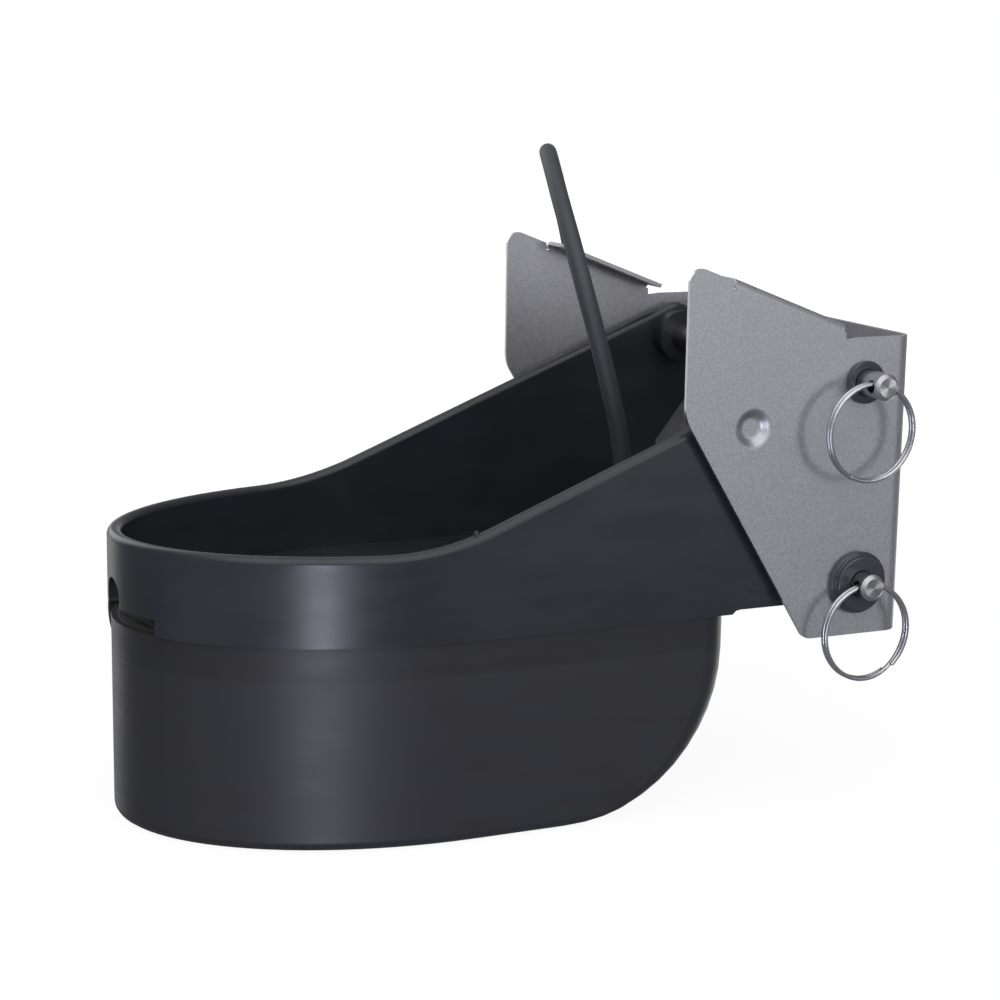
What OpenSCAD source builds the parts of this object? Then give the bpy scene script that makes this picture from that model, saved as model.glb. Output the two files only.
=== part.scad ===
/* [Bracket] */
// Sheet thickness of the folded bracket
sheet = 1.5; // [1.2:0.1:2]
// Gap between the tub's sides and the side plates
side_clearance = 2.5; // [1.5:0.1:4]
// Height of the back plate that lies on the transom
back_height = 102; // [90:1:115]
// How far the side plates reach aft of the transom
plate_reach = 87; // [80:1:96]
// Outer radius of the bends between the back plate and the side plates
bend_radius = 6; // [4:0.5:8]
// Height of the upper aft corner above the plate centre
crown_height = 78; // [74:1:84]
// Drop of the top edge for each millimetre toward the transom
crown_slope = 0.386; // [0.3:0.002:0.44]
// Width of the inward top flange, measured from the outer face
flange_width = 12.5; // [9:0.5:14]
// Outer radius of the bend between a side plate and its top flange
flange_bend = 2.4; // [2:0.1:4]
// Height of the top flanges above the line of the plate's top edge
flange_rise = 0.8; // [0:0.1:1.2]
// Distance from the transom to the aft end of the top flanges
flange_start = 69.5; // [66:0.5:72]
// Distance from the transom to the front end of the top flanges
flange_end = 27; // [26:0.5:32]
// Radius of the upper aft corner of the side plates
crown_corner = 4.5; // [3:0.5:7]
// Distance from the transom to the lower front corner of the side plates
foot_inset = 36; // [32:0.5:40]
// Depth of the inward dimple, measured on the outer face
dimple_depth = 2.2; // [1.6:0.1:2.4]
// Outer radius of the dimple
dimple_radius = 7; // [6:0.5:9]
// Distance from the transom to the dimple
dimple_inset = 61.5; // [56:0.5:66]
// Height of the dimple above the plate centre
dimple_height = 22.5; // [18:0.5:26]
// Half width of a transom slot
slot_radius = 3.3; // [2.6:0.1:4]
// End-to-end length of a transom slot
slot_length = 14; // [10:1:18]
// Distance between the two slot columns
slot_column = 80; // [60:1:90]
// Distance between the slots of one column
slot_rise = 30; // [26:1:34]
// Height of the middle of the slots
slot_centre = 2; // [0:1:4]

/* [Pins] */
// Radius of the pivot pin and the latch pin
pin_radius = 4.5; // [4:0.05:5]
// Distance from the transom to the pin axes
pin_inset = 19; // [18:0.5:21]
// Height of the pivot pin
pivot_height = 36; // [34:0.5:38]
// Distance from the pivot pin down to the latch pin
pin_spacing = 68.5; // [66:0.5:69]
// How far the latch pin stands out of the starboard plate
pin_stand = 11.5; // [10:0.5:14]
// Chamfer of the pin tips
pin_chamfer = 1.2; // [0.6:0.1:1.6]
// Distance from the pin tip to its cross hole
ring_hole_inset = 4; // [3.5:0.5:5]
// Radius of the cross hole
ring_hole_radius = 2.2; // [2.1:0.1:2.6]
// Radius of the pin head
head_radius = 7; // [6:0.5:9]
// Thickness of the pin head
head_thick = 3; // [2:0.5:4]
// Outer diameter of a split ring
ring_diameter = 34; // [32:1:38]
// Wire radius of a split ring
wire_radius = 0.75; // [0.6:0.05:0.8]
// Lean of the pivot pin's ring toward the aft end, in degrees
ring_lean = 12; // [0:1:13]

/* [Bushes] */
// Flange radius of the pivot bushes
pivot_flange = 7.25; // [7:0.25:9]
// Flange thickness of the pivot bushes
pivot_flange_thick = 1.6; // [1.2:0.1:2]
// Flange radius of the latch bushes
latch_flange = 10.7; // [9.5:0.1:12]
// Flange thickness of the latch bushes
latch_flange_thick = 4.2; // [3:0.1:4.4]
// Sleeve radius of the bushes
sleeve_radius = 6.25; // [6:0.05:6.5]

/* [Tub] */
// How far the tub's wall stands out past the tank
tub_lip = 1; // [0.5:0.1:2]
// Wall thickness of the tub
tub_wall = 5; // [4:0.5:6]
// Height of the low rim round the aft end, below the plate centre
rim_low = 12; // [8:0.5:16]
// Rise of the rim for each millimetre toward the transom
rim_slope = 0.4; // [0.36:0.002:0.4]
// Distance from the transom to where the rising rim meets the low rim
rim_start = 169.5; // [166:0.5:176]
// Half length of the curve between the low rim and the rising rim
rim_blend = 19; // [12:1:24]
// Thickness of the tub floor
floor_thick = 4.3; // [4:0.1:6]
// Radius of the arm ends round the pivot pin
ear_radius = 12; // [11:0.5:13]
// Radius of the round drain hole in the aft wall
drain_radius = 6.3; // [4:0.1:7]
// Height of the drain hole above the seam
drain_rise = 8.5; // [7:0.5:12]
// Width of the drain slot at the aft seam
drain_slot_width = 48; // [30:1:50]
// Height of the drain slot
drain_slot_height = 5.5; // [3:0.5:6]
// How far the drain slot reaches in from the aft end
drain_slot_depth = 12.5; // [11:0.5:15]
// Distance from the transom to the tub's front wall
front_wall_inset = 38; // [36:0.5:42]
// Height of the tub's front wall
front_wall_height = 26; // [20:1:30]
// Height of the step under the tub in front of the tank
step_height = 1.3; // [0.8:0.1:2]

/* [Tank] */
// Distance from the plate centre down to the acoustic face
face_depth = 108.5; // [104:0.5:112]
// Height of the tank
tank_height = 67.5; // [64:0.5:68]
// Half of the tank's width
tank_half = 65; // [60:0.5:72]
// Length of the rounded aft end
tank_aft = 100; // [90:1:110]
// Distance from the transom to the start of the rounded aft end
aft_start = 157.5; // [155:0.5:160]
// Distance from the transom to the tank's leading end
tank_front = 63; // [62:0.5:66]
// Radius under the tank's leading end
nose_radius = 55; // [45:1:58]
// Corner radius of the leading end seen from above
nose_corner = 12; // [10:1:20]
// Radius round the edge of the acoustic face
face_edge = 3.5; // [2:0.5:5]
// Wall thickness of the tank
tank_wall = 6; // [5.5:0.5:7]

/* [Inner works] */
// Radius of the low frequency discs
disc_radius = 14; // [12:0.5:14.5]
// Radius of the circle that the outer discs stand on
disc_ring = 29.5; // [29:0.5:31]
// Thickness of the discs
disc_thick = 12; // [8:0.5:14]
// Radius of the high frequency disc
high_disc_radius = 15; // [12:0.5:15.5]
// Thickness of the backing pad
pad_thick = 8; // [5:0.5:10]
// Length of the transformer
transformer_length = 31; // [26:1:32]
// Width of the transformer
transformer_width = 30; // [24:1:32]
// Height of the transformer
transformer_height = 24; // [18:1:24]
// Radius of the thermistor bead
bead_radius = 2.5; // [2:0.1:3]
// Length of the thermistor bead
bead_length = 14; // [8:1:16]
// Radius of the screws that hold the tub on the tank
screw_radius = 2.5; // [2:0.1:3]
// Radius of the tank's screw bosses
boss_radius = 7; // [6:0.5:8]

/* [Gland] */
// Radius of the gland's shank
gland_shank = 5; // [4.6:0.1:6]
// Corner radius of the gland's hexagon
gland_hex = 12; // [11:0.5:14]
// Radius of the gland's thread
gland_thread = 8; // [7.5:0.1:9]
// Radius of the gland's seal
seal_radius = 6; // [5.5:0.1:6.5]

/* [Cable] */
// Cable radius
cable_radius = 3.2; // [2.8:0.1:3.6]
// Mean radius of the cable coil
coil_radius = 56.3; // [54:0.1:57.5]
// Radius of the bundle of turns
coil_bundle = 20; // [18:0.5:20.5]
// Gap between the tub's side and the coil
coil_gap = 7.7; // [4:0.1:12]

/* [Hidden] */
$fn = 64;
running_gap = 0.05;
tub_gap = 0.3;
tub_half = tank_half + tub_lip;
plate_y = tub_half + side_clearance + sheet;
bracket_width = 2 * plate_y;
through = plate_y + 20;
bottom_z = -face_depth;
seam_z = bottom_z + tank_height;
floor_z = seam_z + floor_thick;
pin_x = -pin_inset;
pivot_z = pivot_height;
latch_z = pivot_height - pin_spacing;
pin_length = bracket_width + latch_flange_thick + pin_stand;
ring_mean = ring_diameter / 2 - wire_radius;
ring_sag = ring_mean - sqrt(ring_mean * ring_mean - pin_radius * pin_radius);
tub_aft = tank_aft + tub_lip;
aft_end = -aft_start - tub_aft;
crown_angle = atan(crown_slope);
flange_root = flange_bend + 0.3 - flange_rise;
hatch_x = -front_wall_inset;
step_z = seam_z + step_height;
gland_x = -76;
gland_y = -8;
array_x = -aft_start - 12.5;
high_disc_x = array_x - disc_ring - disc_radius - high_disc_radius - 2.5;
window_z = bottom_z + tank_wall;
pad_z = window_z + disc_thick;
coil_x = -125;
coil_y = tub_half + coil_gap + coil_bundle + coil_radius;
tie_thick = 1.2;
coil_z = bottom_z + coil_bundle + tie_thick;
lead_reach = sqrt(pow(coil_bundle + cable_radius, 2) - pow(coil_z - bottom_z - cable_radius, 2));
lead_x = coil_x + coil_radius + lead_reach;
plug_z = bottom_z + 11;
tail_reach = sqrt(pow(coil_bundle + cable_radius, 2) - pow(coil_z - plug_z, 2));
tail_y = coil_y + coil_radius + tail_reach;
tail_x = coil_x - 20;
screw_aft = -aft_start - 47.5;
screw_front = -tank_front - 15.5;
screw_inset = tank_wall + boss_radius - 1;
screw_spots = concat([for (s = [1, -1]) [screw_aft, s * (aft_half(screw_aft) - screw_inset)]],
  [for (s = [1, -1]) [screw_front, s * (tank_half - screw_inset)]]);
sides = [-1, 1];
lead_route = [
  [gland_x, gland_y, seam_z - 3], [gland_x, gland_y, -20], [gland_x, gland_y, -4], [-77.5, -8, 9],
  [-80.5, -7.5, 21], [-83.5, -6, 34.5], [-87.5, -4, 51], [-89.5, 0, 62.3], [-89.7, 6, 72.5],
  [-89, 15, 83], [-86.5, 28, 93.3], [-82, 43, 102.5], [-76, 60, 107.8], [-66.5, 77, 103],
  [-56, 90, 88.5], [-47, 97, 71], [-41, 100.5, 45], [-42, 102, 15], [-47, 103, -20],
  [-53, 103.5, -50], [lead_x, 104, -74], [lead_x, 108.5, -90], [lead_x, 119, -100.5],
  [lead_x, 133, bottom_z + cable_radius], [lead_x, coil_y, bottom_z + cable_radius]
];

// Height of the plate's top edge line at x
function crown(x) = crown_height - crown_slope * (x + plate_reach);
// Height of the sloping part of the tub's rim at x
function rim(x) = -rim_low + rim_slope * (x + rim_start);
// Half width of the tank's rounded aft end at x
function aft_half(x) = tank_half * sqrt(1 - pow((x + aft_start) / tank_aft, 2));
// Where a pin's tip lies, by the thickness of the bush flange that its head rests on
function pin_tip(flange_thick) = plate_y + flange_thick - pin_length;
// Point on a quadratic curve
function bend(a, b, c, t) = (1 - t) * (1 - t) * a + 2 * t * (1 - t) * b + t * t * c;
// Outline seen from above: a half ellipse aft and a leading edge with round corners
function plan_points(long, half, front, corner) = concat(
  [for (a = [90:3.75:270]) [-aft_start + long * cos(a), half * sin(a)]],
  [for (a = [-90:11.25:0]) [front - corner + corner * cos(a), -half + corner + corner * sin(a)]],
  [for (a = [0:11.25:90]) [front - corner + corner * cos(a), half - corner + corner * sin(a)]]
);
// How far the nose curve draws the leading end back at height h above the face
function nose_back(h, r) = h >= r ? 0 : r - sqrt(r * r - (r - h) * (r - h));
// Smooth curve through four points
function spline(a, b, c, d, t) = 0.5 * (2 * b + (c - a) * t + (2 * a - 5 * b + 4 * c - d) * t * t
  + (3 * b - a - 3 * c + d) * t * t * t);
function unit(v) = v / norm(v);

module plan(inset, front, corner) {
  polygon(plan_points(tank_aft - inset, tank_half - inset, front, corner));
}

module cross_cylinder(x, z, from, to, r) {
  translate([x, to, z]) rotate([90, 0, 0]) cylinder(r = r, h = to - from);
}

module side_sheet(side, points) {
  translate([0, side > 0 ? plate_y : -plate_y + sheet, 0])
    rotate([90, 0, 0]) linear_extrude(sheet) polygon(points);
}

// Height of the side plate's top edge beside the flange, at distance d from the transom
function edge_top(d) = crown(-d) - 0.3;
// Side plate outline with its rounded corners and the small relief notches beside the flange
function plate_points() = concat(
  [for (a = [180:-15:75]) [-plate_reach + crown_corner + crown_corner * cos(a),
    edge_top(plate_reach - crown_corner) - crown_corner / cos(crown_angle) + crown_corner * sin(a)]],
  [[-flange_start - 1.4, edge_top(flange_start + 1.4)], [-flange_start - 1.2, crown(-flange_start) - 2.6],
   [-flange_start, crown(-flange_start) - 2.6], [-flange_start, crown(-flange_start) - flange_root],
   [-flange_end, crown(-flange_end) - flange_root], [-flange_end, crown(-flange_end) - 4.2],
   [-flange_end + 1.6, crown(-flange_end) - 4.2]],
  [[-flange_end + 4.5, back_height / 2], [-bend_radius, back_height / 2], [-bend_radius, -back_height / 2]],
  [for (a = [270:-10:211]) [-foot_inset + 5 * cos(a), -back_height / 2 + 5 + 5 * sin(a)]],
  [for (a = [211:-6:180]) [-plate_reach + 12 + 12 * cos(a), dimple_height + 8 + 12 * sin(a)]]
);

module bracket_flange(side) {
  length = (flange_start - flange_end) / cos(crown_angle);
  translate([-flange_start, side * plate_y, crown(-flange_start) + flange_rise]) rotate([0, crown_angle, 0])
    mirror([0, side > 0 ? 0 : 1, 0]) {
      translate([0, -flange_width, -sheet]) cube([length, flange_width - flange_bend, sheet]);
      translate([0, -sheet, -flange_bend - 0.6]) cube([length, sheet, 0.6]);
      intersection() {
        translate([0, -flange_bend, -flange_bend]) rotate([0, 90, 0]) difference() {
          cylinder(r = flange_bend, h = length);
          translate([0, 0, -1]) cylinder(r = flange_bend - sheet, h = length + 2);
        }
        translate([0, -flange_bend, -flange_bend]) cube([length, flange_bend, flange_bend]);
      }
    }
}

// Dimple pressed inward with a flat middle and a smooth wall
module dimple(side) {
  flat = dimple_radius * 0.4;
  wall = [for (t = [0:0.125:1]) [flat + (dimple_radius - flat) * t, dimple_depth * (1 + cos(180 * t)) / 2]];
  translate([-dimple_inset, side * plate_y, dimple_height]) rotate([side * 90, 0, 0]) rotate_extrude()
    polygon(concat([[0, dimple_depth]], wall, [[dimple_radius + 0.4, 0], [dimple_radius + 0.4, sheet]],
      [for (i = [len(wall) - 1:-1:0]) wall[i] + [0, sheet]], [[0, dimple_depth + sheet]]));
}

module bracket() {
  color([0.62, 0.62, 0.64]) {
    difference() {
      union() {
        for (s = sides) side_sheet(s, plate_points());
        translate([-sheet, -plate_y + bend_radius, -back_height / 2])
          cube([sheet, bracket_width - 2 * bend_radius, back_height]);
        for (s = sides) intersection() {
          translate([-bend_radius, s * (plate_y - bend_radius), -back_height / 2]) difference() {
            cylinder(r = bend_radius, h = back_height);
            translate([0, 0, -1]) cylinder(r = bend_radius - sheet, h = back_height + 2);
          }
          translate([-bend_radius, s > 0 ? plate_y - bend_radius : -plate_y, -back_height / 2])
            cube([bend_radius, bend_radius, back_height]);
        }
        for (s = sides) bracket_flange(s);
      }
      for (z = [pivot_z, latch_z])
        cross_cylinder(pin_x, z, -plate_y - 1, plate_y + 1, sleeve_radius + running_gap);
      for (s = sides) cross_cylinder(-dimple_inset, dimple_height, s > 0 ? plate_y - 3 : -plate_y - 1,
        s > 0 ? plate_y + 1 : -plate_y + 3, dimple_radius + 0.2);
      for (s = sides) for (k = sides)
        translate([-sheet - 1, s * slot_column / 2, slot_centre + k * slot_rise / 2]) rotate([0, 90, 0]) {
          for (e = sides) translate([e * (slot_length / 2 - slot_radius), 0, 0])
            cylinder(r = slot_radius, h = sheet + 2);
          translate([-slot_length / 2 + slot_radius, -slot_radius, 0])
            cube([slot_length - 2 * slot_radius, 2 * slot_radius, sheet + 2]);
        }
    }
    for (s = sides) dimple(s);
  }
}

// Clevis pin with a head on the port side and a cross hole by its chamfered tip
module clevis_pin(z, flange_thick) {
  tip = pin_tip(flange_thick);
  head = plate_y + flange_thick;
  color([0.75, 0.75, 0.77]) difference() {
    union() {
      cross_cylinder(pin_x, z, tip + pin_chamfer, head, pin_radius);
      translate([pin_x, tip + pin_chamfer, z]) rotate([90, 0, 0])
        cylinder(r1 = pin_radius, r2 = pin_radius - pin_chamfer, h = pin_chamfer);
      cross_cylinder(pin_x, z, head, head + head_thick, head_radius);
    }
    translate([pin_x - 10, tip + ring_hole_inset, z]) rotate([0, 90, 0])
      cylinder(r = ring_hole_radius, h = 20);
  }
}

module pivot_pin() {
  clevis_pin(pivot_z, pivot_flange_thick);
}

module latch_pin() {
  clevis_pin(latch_z, latch_flange_thick);
}

// Flanged bush in one side plate, its sleeve stopping short of the tub
module bush(side, z, flange, thick, step) {
  inner = tub_half + tub_gap;
  color([0.1, 0.1, 0.11]) translate([pin_x, 0, z]) rotate([side > 0 ? -90 : 90, 0, 0]) difference() {
    union() {
      translate([0, 0, inner]) cylinder(r = sleeve_radius, h = plate_y - inner);
      translate([0, 0, plate_y]) cylinder(r = flange, h = step > 0 ? thick * 0.55 : thick);
      translate([0, 0, plate_y]) cylinder(r = flange - step, h = thick);
    }
    translate([0, 0, inner - 1]) cylinder(r = pin_radius + running_gap, h = 20);
  }
}

module pivot_bush_starboard() {
  bush(-1, pivot_z, pivot_flange, pivot_flange_thick, 0);
}

module pivot_bush_port() {
  bush(1, pivot_z, pivot_flange, pivot_flange_thick, 0);
}

module latch_bush_starboard() {
  bush(-1, latch_z, latch_flange, latch_flange_thick, 1.4);
}

module latch_bush_port() {
  bush(1, latch_z, latch_flange, latch_flange_thick, 1.4);
}

// Two-turn split ring hanging in a pin's cross hole, leaning as far as the hole lets it
module split_ring(z, flange_thick, lean) {
  lift = (pin_radius * tan(lean) - ring_mean * pow(tan(lean), 2) / 2) / 2;
  color([0.8, 0.8, 0.82])
    translate([pin_x, pin_tip(flange_thick) + ring_hole_inset, z + lift]) rotate([0, lean, 0])
      translate([0, 0, ring_sag / 2 - ring_mean]) rotate([90, 0, 0]) rotate_extrude()
        for (s = sides) translate([ring_mean, s * wire_radius * 0.92]) circle(r = wire_radius);
}

module pivot_ring() {
  split_ring(pivot_z, pivot_flange_thick, ring_lean);
}

module latch_ring() {
  split_ring(latch_z, latch_flange_thick, 0);
}

// Side view of the tub with its arms, from the aft end round to the rim
function tub_side() = concat(
  [[aft_end - 10, seam_z], [-tank_front - 1.5, seam_z], [-tank_front, step_z], [pin_x + 9, step_z],
   [pin_x + 10.5, step_z + 1.5], [pin_x + 10.5, latch_z + 9], [pin_x + 7, latch_z + 12],
   [pin_x - 7, pivot_z - 50], [pin_x - 7, pivot_z - 41], [pin_x + 8.7, pivot_z - 21],
   [pin_x + ear_radius - 0.4, pivot_z - 14]],
  [for (a = [-20:10:90]) [pin_x + ear_radius * cos(a), pivot_z + ear_radius * sin(a)]],
  [[pin_x - 6, rim(pin_x - 6)]],
  [for (t = [0:0.1:1]) bend([-rim_start + rim_blend, rim(-rim_start + rim_blend)], [-rim_start, -rim_low],
    [-rim_start - rim_blend, -rim_low], t)],
  [[aft_end - 10, -rim_low]]
);

module tub() {
  inner_half = tub_half - tub_wall;
  color([0.13, 0.13, 0.14]) difference() {
    union() {
      difference() {
        intersection() {
          translate([0, 0, seam_z]) linear_extrude(pivot_z + ear_radius - seam_z + 1)
            polygon(plan_points(tub_aft, tub_half, 2, 1));
          translate([0, through, 0]) rotate([90, 0, 0]) linear_extrude(2 * through) polygon(tub_side());
        }
        translate([0, 0, floor_z]) linear_extrude(pivot_z + ear_radius - floor_z + 2)
          polygon(plan_points(tub_aft - tub_wall, inner_half, 4, 1));
        translate([hatch_x, -inner_half, seam_z - 1])
          cube([front_wall_inset + 4, 2 * inner_half, front_wall_height + 20]);
      }
      translate([hatch_x - 4, -inner_half, step_z]) cube([4, 2 * inner_half, front_wall_height]);
      for (s = sides) cross_cylinder(pin_x, pivot_z, s > 0 ? inner_half - 6 : -inner_half,
        s > 0 ? inner_half : -inner_half + 6, ear_radius - 2.5);
    }
    cross_cylinder(pin_x, pivot_z, -through, through, pin_radius + running_gap);
    cross_cylinder(pin_x, latch_z, -through, through, pin_radius + tub_gap);
    intersection() {
      difference() {
        cross_cylinder(pin_x, pivot_z, -through, through, pin_spacing + pin_radius + tub_gap);
        cross_cylinder(pin_x, pivot_z, -through - 1, through + 1, pin_spacing - pin_radius - tub_gap);
      }
      translate([pin_x, -through, latch_z - 12]) cube([30, 2 * through, 24]);
    }
    for (s = sides) translate([0, s > 0 ? tub_half + 1 : -tub_half + 0.6, 0])
      rotate([90, 0, 0]) linear_extrude(1.6) polygon([[-tank_front + 0.4, step_z - 1],
        [-tank_front + 4.1, seam_z + 7.5], [0, seam_z + 7.5], [0, step_z - 1]]);
    translate([aft_end - 1, -drain_slot_width / 2, seam_z - 1])
      cube([drain_slot_depth + 1, drain_slot_width, drain_slot_height + 1]);
    translate([aft_end - 1, 0, seam_z + drain_rise]) rotate([0, 90, 0])
      cylinder(r = drain_radius, h = tub_wall + 12);
    for (p = screw_spots) translate([p[0], p[1], seam_z - 1])
      cylinder(r = screw_radius + 0.25, h = floor_thick + 2);
    translate([gland_x, gland_y, seam_z - 1]) cylinder(r = gland_shank, h = floor_thick + 2);
  }
}

// Tank body: stacked outlines that shorten toward the face under the leading end
module tank_solid(inset, floor, edge) {
  r = nose_radius - inset;
  heights = concat([for (b = [0:22.5:90]) edge * (1 - cos(b))],
    [for (a = [15:7.5:90]) let (h = r * (1 - cos(a))) if (h > edge + 0.4) h], [tank_height - floor]);
  rows = [for (h = heights) let (back = inset + nose_back(h, edge))
    plan_points(tank_aft - back, tank_half - back, -tank_front - inset - nose_back(h, r),
      nose_corner - inset)];
  wide = len(rows[0]);
  last = len(heights) - 1;
  points = [for (i = [0:last]) for (p = rows[i]) [p[0], p[1], bottom_z + floor + heights[i]]];
  polyhedron(points, concat(
    [[for (k = [0:wide - 1]) k]],
    [for (i = [0:last - 1]) for (k = [0:wide - 1]) for (j = [0, 1]) let (m = (k + 1) % wide)
      j == 0 ? [i * wide + k, (i + 1) * wide + m, i * wide + m]
        : [i * wide + k, (i + 1) * wide + k, (i + 1) * wide + m]],
    [[for (k = [wide - 1:-1:0]) last * wide + k]]
  ));
}

module boss_columns(r) {
  for (p = screw_spots) translate([p[0], p[1], seam_z - 18]) cylinder(r = r, h = 18);
}

module tank_cavity() {
  difference() {
    tank_solid(tank_wall, tank_wall, 1);
    boss_columns(boss_radius);
  }
}

module gasket_ring() {
  translate([0, 0, seam_z - 1]) linear_extrude(1) difference() {
    plan(2, -tank_front - 2, nose_corner - 2);
    plan(5, -tank_front - 5, nose_corner - 5);
  }
}

module tank() {
  color([0.13, 0.125, 0.14]) difference() {
    tank_solid(0, 0, face_edge);
    tank_cavity();
    gasket_ring();
    for (p = screw_spots) translate([p[0], p[1], seam_z - 12]) cylinder(r = screw_radius, h = 14);
  }
}

module tub_gasket() {
  color([0.05, 0.05, 0.05]) gasket_ring();
}

module housing_screws() {
  color([0.78, 0.78, 0.8]) for (p = screw_spots) translate([p[0], p[1], 0]) difference() {
    union() {
      translate([0, 0, seam_z - 12]) cylinder(r = screw_radius, h = 12 + floor_thick);
      translate([0, 0, floor_z]) cylinder(r = screw_radius + 2.1, h = 3.2);
    }
    translate([0, 0, floor_z + 1.2]) cylinder(r = screw_radius - 0.3, h = 4, $fn = 6);
  }
}

module low_frequency_array() {
  color([0.86, 0.84, 0.78]) translate([array_x, 0, window_z]) {
    cylinder(r = disc_radius, h = disc_thick);
    for (a = [0:60:300]) rotate([0, 0, a]) translate([disc_ring, 0, 0])
      cylinder(r = disc_radius, h = disc_thick);
  }
}

module high_frequency_disc() {
  color([0.82, 0.8, 0.74]) translate([high_disc_x, 0, window_z])
    cylinder(r = high_disc_radius, h = disc_thick);
}

module backing_pad() {
  color([0.55, 0.4, 0.26]) translate([0, 0, pad_z]) linear_extrude(pad_thick)
    plan(tank_wall + 4, array_x + disc_ring + disc_radius + 4.5, 8);
}

module thermistor() {
  color([0.2, 0.25, 0.4]) translate([-tank_front - 51.5, -tank_half + 19, window_z + 10])
    cylinder(r = bead_radius, h = bead_length);
}

module transformer() {
  color([0.3, 0.2, 0.16]) translate([-tank_front - 26 - transformer_length, tank_half - 51, pad_z + 2])
    cube([transformer_length, transformer_width, transformer_height]);
}

module potting() {
  color([0.2, 0.19, 0.17]) difference() {
    tank_cavity();
    low_frequency_array();
    high_frequency_disc();
    backing_pad();
    thermistor();
    transformer();
    translate([gland_x, gland_y, seam_z - 8]) cylinder(r = gland_shank, h = 20);
  }
}

module gland_body() {
  color([0.16, 0.16, 0.17]) translate([gland_x, gland_y, 0]) difference() {
    union() {
      translate([0, 0, seam_z - 8]) cylinder(r = gland_shank, h = floor_thick + 8);
      translate([0, 0, floor_z]) cylinder(r = gland_hex, h = 6, $fn = 6);
      translate([0, 0, floor_z + 6]) cylinder(r = gland_thread, h = 8);
    }
    translate([0, 0, seam_z - 3]) cylinder(r = cable_radius + running_gap, h = 60);
    translate([0, 0, floor_z + 8]) cylinder(r = seal_radius, h = 10);
  }
}

module gland_nut() {
  color([0.15, 0.15, 0.16]) translate([gland_x, gland_y, floor_z + 6]) difference() {
    union() {
      cylinder(r = gland_hex - 0.6, h = 8, $fn = 6);
      translate([0, 0, 8]) cylinder(r1 = gland_thread + 1.4, r2 = gland_thread - 1.4, h = 5);
    }
    translate([0, 0, -1]) cylinder(r = gland_thread, h = 9);
    cylinder(r = cable_radius + running_gap, h = 20);
  }
}

module gland_seal() {
  color([0.05, 0.05, 0.05]) translate([gland_x, gland_y, floor_z + 8]) difference() {
    cylinder(r = seal_radius, h = 6);
    translate([0, 0, -1]) cylinder(r = cable_radius + running_gap, h = 8);
  }
}

// Smooth route through the key points, three steps between each pair
function lead_line() = concat([for (i = [0:len(lead_route) - 2]) for (t = [0:1 / 3:0.9])
  spline(lead_route[max(i - 1, 0)], lead_route[i], lead_route[i + 1],
    lead_route[min(i + 2, len(lead_route) - 1)], t)], [lead_route[len(lead_route) - 1]]);

module cable_lead() {
  line = lead_line();
  last = len(line) - 1;
  ring = 8;
  points = [for (i = [0:last]) let (t = unit(line[min(i + 1, last)] - line[max(i - 1, 0)]),
    n = unit(cross(t, [1, 0, 0])), b = cross(t, n))
    for (k = [0:ring - 1]) line[i] + cable_radius * (n * cos(k * 360 / ring) + b * sin(k * 360 / ring))];
  faces = concat(
    [[for (k = [0:ring - 1]) ring - 1 - k]],
    [for (i = [0:last - 1]) for (k = [0:ring - 1]) for (h = [0, 1])
      h == 0 ? [i * ring + k, i * ring + (k + 1) % ring, (i + 1) * ring + (k + 1) % ring]
        : [i * ring + k, (i + 1) * ring + (k + 1) % ring, (i + 1) * ring + k]],
    [[for (k = [0:ring - 1]) last * ring + k]]
  );
  color([0.08, 0.08, 0.09]) polyhedron(points, [for (f = faces) [for (i = [len(f) - 1:-1:0]) f[i]]]);
}

module cable_coil() {
  color([0.08, 0.08, 0.09]) translate([coil_x, coil_y, coil_z]) rotate_extrude()
    translate([coil_radius, 0]) circle(r = coil_bundle);
}

module coil_tie() {
  color([0.12, 0.12, 0.12]) translate([coil_x - coil_radius, coil_y, coil_z]) rotate([90, 0, 0])
    translate([0, 0, -2.5]) difference() {
      cylinder(r = coil_bundle + tie_thick, h = 5);
      translate([coil_radius, 0, 2.5]) rotate([90, 0, 0]) rotate_extrude()
        translate([coil_radius, 0]) circle(r = coil_bundle);
    }
}

module cable_tail() {
  color([0.08, 0.08, 0.09]) translate([coil_x + 6, tail_y, plug_z]) rotate([0, -90, 0])
    cylinder(r = cable_radius, h = coil_x - tail_x + 18);
}

module plug_body() {
  color([0.12, 0.12, 0.13]) translate([tail_x, tail_y, plug_z]) rotate([0, -90, 0]) difference() {
    union() {
      cylinder(r1 = 5, r2 = 8, h = 14);
      translate([0, 0, 14]) cylinder(r = 9, h = 25);
    }
    translate([0, 0, -1]) cylinder(r = cable_radius, h = 13);
    translate([0, 0, 31]) cylinder(r = 7, h = 10);
  }
}

module plug_collar() {
  color([0.14, 0.14, 0.15]) translate([tail_x - 27, tail_y, plug_z]) rotate([0, -90, 0]) difference() {
    cylinder(r = 11, h = 24);
    translate([0, 0, -1]) cylinder(r = 9, h = 26);
  }
}

module plug_insert() {
  color([0.75, 0.6, 0.3]) translate([tail_x - 31, tail_y, plug_z]) rotate([0, -90, 0]) {
    cylinder(r = 7, h = 10);
    for (a = [0:60:300]) rotate([0, 0, a]) translate([4, 0, 9.5]) cylinder(r = 0.8, h = 7);
  }
}

bracket();
pivot_pin();
latch_pin();
pivot_bush_starboard();
pivot_bush_port();
latch_bush_starboard();
latch_bush_port();
pivot_ring();
latch_ring();
tub();
tank();
potting();
low_frequency_array();
high_frequency_disc();
backing_pad();
thermistor();
transformer();
tub_gasket();
housing_screws();
gland_body();
gland_nut();
gland_seal();
cable_lead();
cable_coil();
coil_tie();
cable_tail();
plug_body();
plug_collar();
plug_insert();
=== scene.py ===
import math

import bmesh
import bpy
from mathutils import Matrix, Quaternion, Vector


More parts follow.
